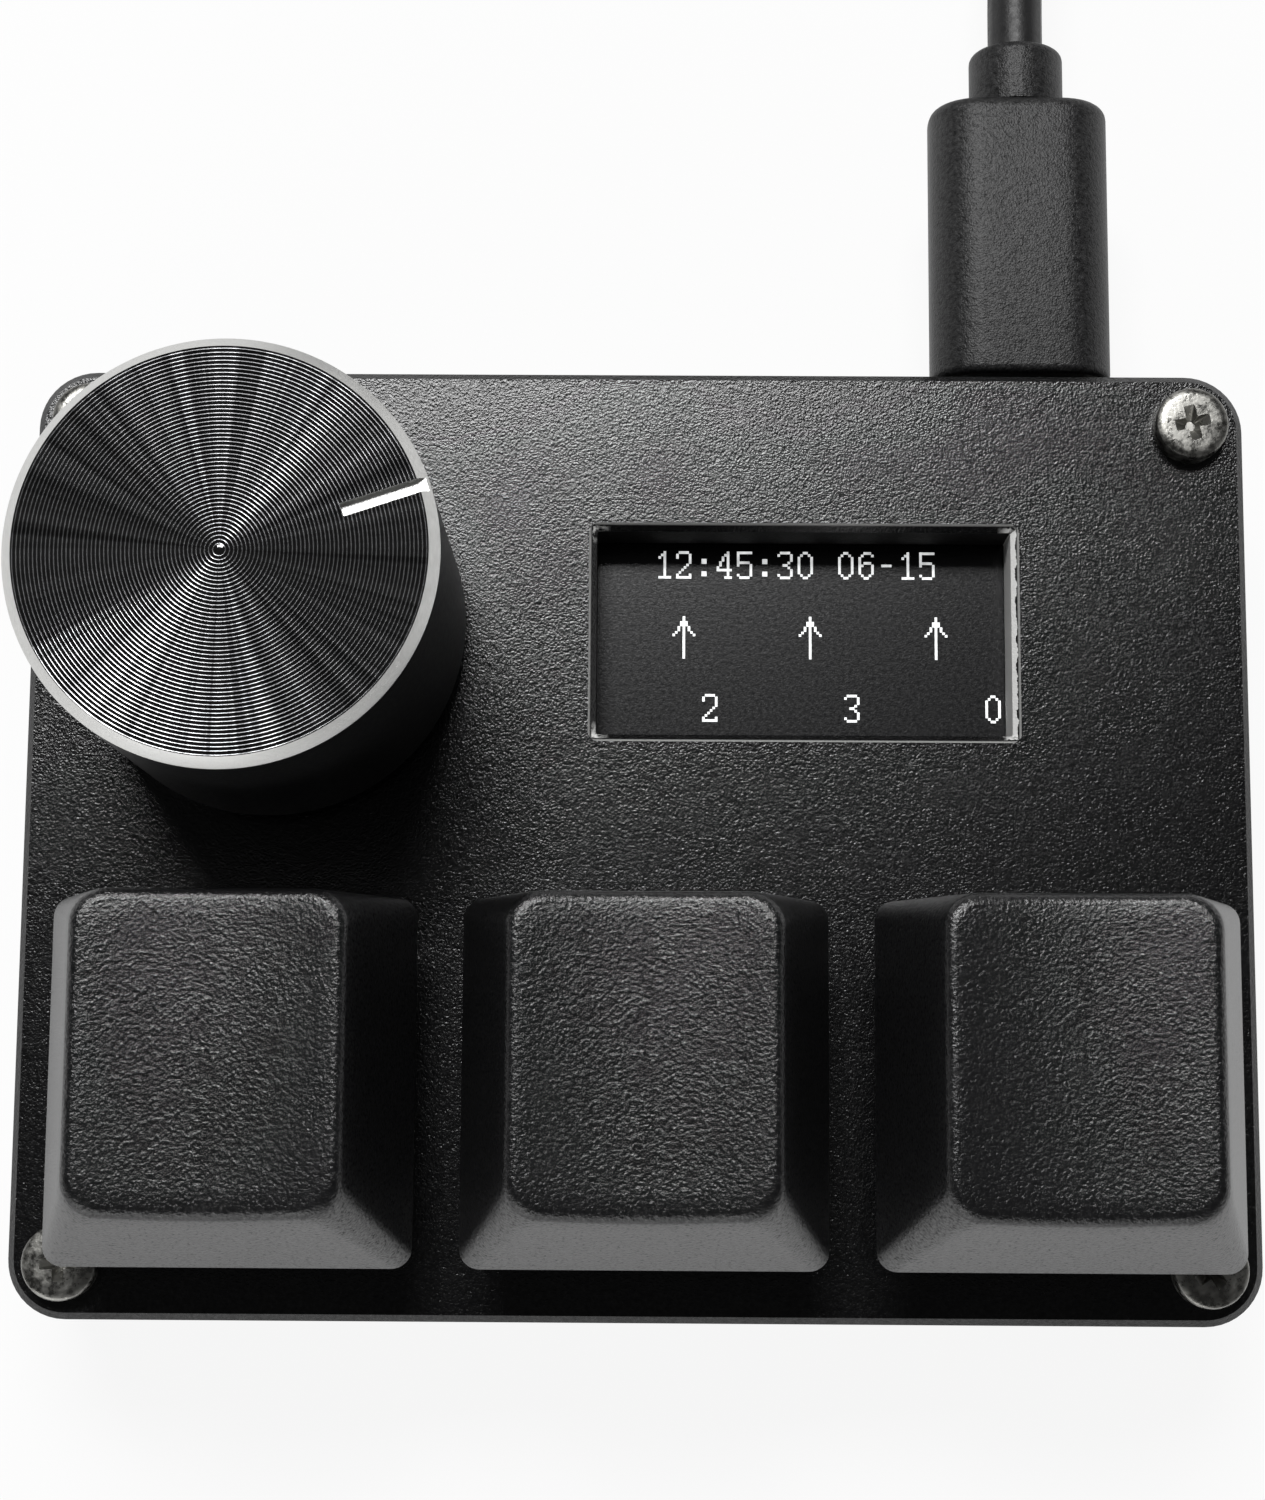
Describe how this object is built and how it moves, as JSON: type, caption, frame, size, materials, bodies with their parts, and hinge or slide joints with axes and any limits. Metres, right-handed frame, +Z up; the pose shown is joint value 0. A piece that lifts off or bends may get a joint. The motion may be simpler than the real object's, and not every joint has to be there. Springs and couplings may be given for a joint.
{
  "type": "gaming keypad",
  "caption": "Compact desk keypad with a row of sprung keys, a turning push knob, a recessed screen and a coiled USB lead.",
  "frame": {"origin": "on the desk, below the middle of the case", "axes": "+X to the right along the key row, +Y away from the user towards the plug, +Z up"},
  "size_m": [0.0662, 0.1538, 0.0321],
  "materials": {
    "plate": "bead-blasted black anodised",
    "case": "fine-textured moulded black",
    "screws": "nickel-plated steel",
    "inserts": "turned brass",
    "feet": "soft matte rubber",
    "board": "solder-masked laminate",
    "chips": "moulded epoxy",
    "screen": "black glass panel",
    "backlight": "white moulded frame",
    "pad": "foam tape",
    "flex": "polyimide film",
    "housing": "moulded nylon",
    "stem": "moulded acetal",
    "magnet": "nickel-plated",
    "spring": "spring wire",
    "keycap": "grained moulded plastic",
    "knob": "turned black anodised, bright cut rim",
    "encoder_metal": "pressed plated steel",
    "tongue": "moulded liquid-crystal polymer",
    "plug_body": "fine-textured moulded elastomer",
    "cable": "satin extruded sheath",
    "tie": "hook and loop strap"
  },
  "bodies": {
    "root": {"top_plate": "plate", "bottom_case": "case", "plate_screws": "screws", "board_screws": "screws", "screw_inserts": "inserts", "encoder_bush": "inserts", "rubber_feet": "feet", "main_board": "board", "board_chips": "chips", "hall_sensors": "chips", "display_glass": "screen", "display_backlight": "backlight", "display_pad": "pad", "display_flex": "flex", "switch_base_left": "housing", "switch_base_middle": "housing", "switch_base_right": "housing", "switch_top_left": "housing", "switch_top_middle": "housing", "switch_top_right": "housing", "encoder_body": "housing", "spring_left": "spring", "spring_middle": "spring", "spring_right": "spring", "encoder_bracket": "encoder_metal", "usb_socket_shell": "encoder_metal", "usb_socket_tongue": "tongue"},
    "key_left": {"keycap_left": "keycap", "stem_left": "stem", "magnet_left": "magnet"},
    "key_middle": {"keycap_middle": "keycap", "stem_middle": "stem", "magnet_middle": "magnet"},
    "key_right": {"keycap_right": "keycap", "stem_right": "stem", "magnet_right": "magnet"},
    "push": {"encoder_plunger": "housing"},
    "knob": {"encoder_shaft": "encoder_metal", "knob_shell": "knob", "knob_insert": "stem"},
    "code_wheel": {"encoder_rotor": "housing"},
    "lead": {"usb_plug_shell": "encoder_metal", "usb_plug_overmold": "plug_body", "usb_plug_collar": "plug_body", "cable_lead": "cable", "cable_coil": "cable", "cable_tail": "cable", "coil_tie": "tie", "far_plug_collar": "plug_body", "far_plug_overmold": "plug_body", "far_plug_shell": "encoder_metal", "far_plug_tongue": "tongue"}
  },
  "joints": [
    {"name": "key_left_press", "type": "slide", "parent": "root", "child": "key_left", "axis": [0, 0, -1], "range_m": [0, 0.004], "stiffness_N_per_m": 80, "springref_m": -0.0045, "deforming": ["spring_left"]},
    {"name": "key_middle_press", "type": "slide", "parent": "root", "child": "key_middle", "axis": [0, 0, -1], "range_m": [0, 0.004], "stiffness_N_per_m": 80, "springref_m": -0.0045, "deforming": ["spring_middle"]},
    {"name": "key_right_press", "type": "slide", "parent": "root", "child": "key_right", "axis": [0, 0, -1], "range_m": [0, 0.004], "stiffness_N_per_m": 80, "springref_m": -0.0045, "deforming": ["spring_right"]},
    {"name": "knob_press", "type": "slide", "parent": "root", "child": "push", "axis": [0, 0, -1], "range_m": [0, 0.0005], "stiffness_N_per_m": 3000, "springref_m": -0.0005},
    {"name": "knob_turn", "type": "hinge", "parent": "push", "child": "knob", "pos_m": [-0.0189, 0.0108, 0.02], "axis": [0, 0, 1], "continuous": true},
    {"name": "code_wheel_turn", "type": "hinge", "parent": "root", "child": "code_wheel", "pos_m": [-0.0189, 0.0108, 0.02], "axis": [0, 0, 1], "continuous": true},
    {"name": "plug_pull", "type": "slide", "parent": "root", "child": "lead", "axis": [0, 1, 0], "range_m": [0, 0.009]}
  ],
  "couplings": [
    {"joint": "code_wheel_turn", "follows": "knob_turn", "ratio": 1}
  ]
}
